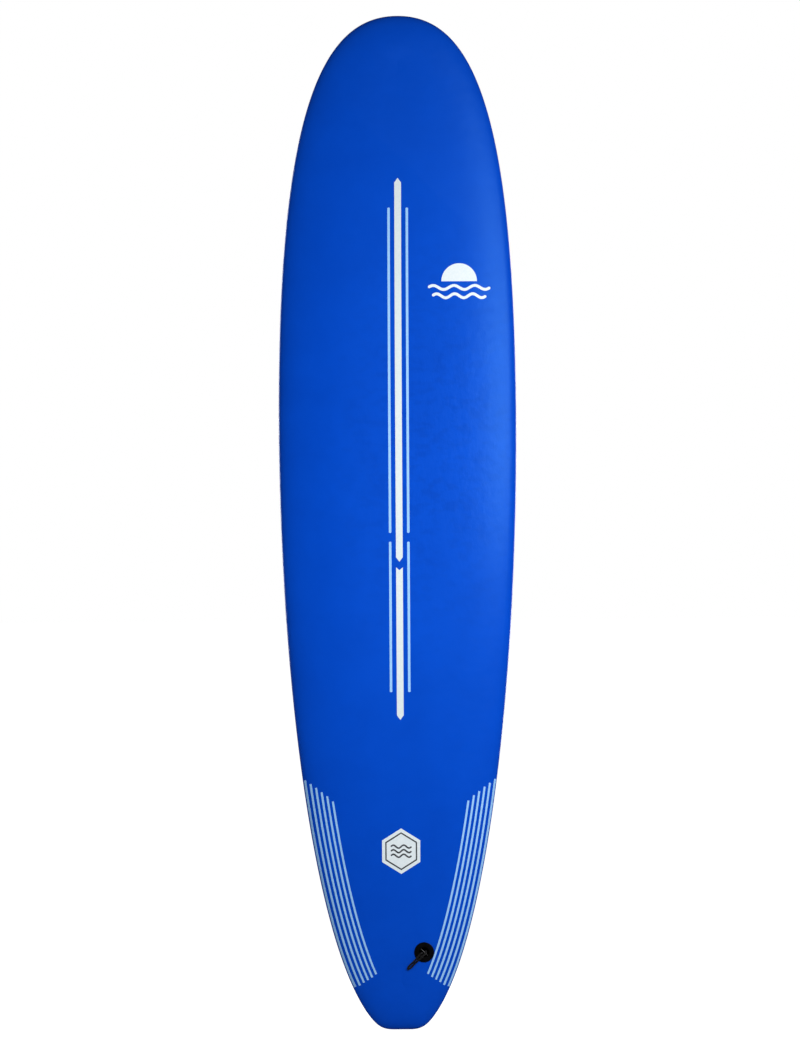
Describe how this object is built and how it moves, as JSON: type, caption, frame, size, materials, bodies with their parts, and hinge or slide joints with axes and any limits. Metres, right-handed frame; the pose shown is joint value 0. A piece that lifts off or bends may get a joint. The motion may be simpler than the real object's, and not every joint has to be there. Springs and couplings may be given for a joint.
{
  "type": "surfboard",
  "caption": "Soft-top longboard-style surfboard with foam core, stringers, slick bottom, removable fins and a leash plug with a cord loop.",
  "frame": {"origin": "centre of the flat end of the tail, on the rail's apex", "axes": "+Z from the tail to the nose, along the board; -Y out of the deck; +Y out of the bottom, the side of the fins; +X to the right as the deck is looked at with the nose up"},
  "size_m": [0.574, 0.2435, 2.4384],
  "materials": {
    "deck_foam": "soft closed-cell foam sheet, satin, finely embossed, royal blue with white print",
    "slick_sheet": "smooth white slick sheet on a foam backing",
    "core_foam": "expanded bead foam",
    "plywood": "raw plywood strip",
    "black_plastic": "moulded black plastic, satin",
    "fin_plastic": "flexible black moulded plastic, semi-gloss",
    "steel": "stainless steel",
    "cord": "braided black cord"
  },
  "bodies": {
    "board": {"deck_skin": "deck_foam", "bottom_skin": "slick_sheet", "core_outer_left": "core_foam", "core_inner_left": "core_foam", "core_inner_right": "core_foam", "core_outer_right": "core_foam", "stringer_left": "plywood", "stringer_centre": "plywood", "stringer_right": "plywood", "fin_box_centre": "black_plastic", "fin_box_left": "black_plastic", "fin_box_right": "black_plastic", "fin_screw_centre_front": "steel", "fin_screw_centre_rear": "steel", "fin_screw_left_front": "steel", "fin_screw_left_rear": "steel", "fin_screw_right_front": "steel", "fin_screw_right_rear": "steel", "leash_plug_cup": "black_plastic", "leash_plug_anchor": "black_plastic", "leash_plug_pin": "steel"},
    "leash_loop": {"leash_loop": "cord"},
    "fin_centre": {"fin_centre": "fin_plastic"},
    "fin_left": {"fin_left": "fin_plastic"},
    "fin_right": {"fin_right": "fin_plastic"}
  },
  "joints": [
    {"name": "leash_loop_swing", "type": "hinge", "parent": "board", "child": "leash_loop", "pos_m": [0.05345, -0.00601, 0.1853], "axis": [-0.7065, -0.0181, 0.7075], "range_deg": [0, 85]},
    {"name": "fin_centre_release", "type": "slide", "parent": "board", "child": "fin_centre", "axis": [0, 0.9953, -0.0972], "range_m": [0, 0.025]},
    {"name": "fin_left_release", "type": "slide", "parent": "board", "child": "fin_left", "axis": [-0.0481, 0.9958, -0.0777], "range_m": [0, 0.025]},
    {"name": "fin_right_release", "type": "slide", "parent": "board", "child": "fin_right", "axis": [0.0481, 0.9958, -0.0777], "range_m": [0, 0.025]}
  ]
}
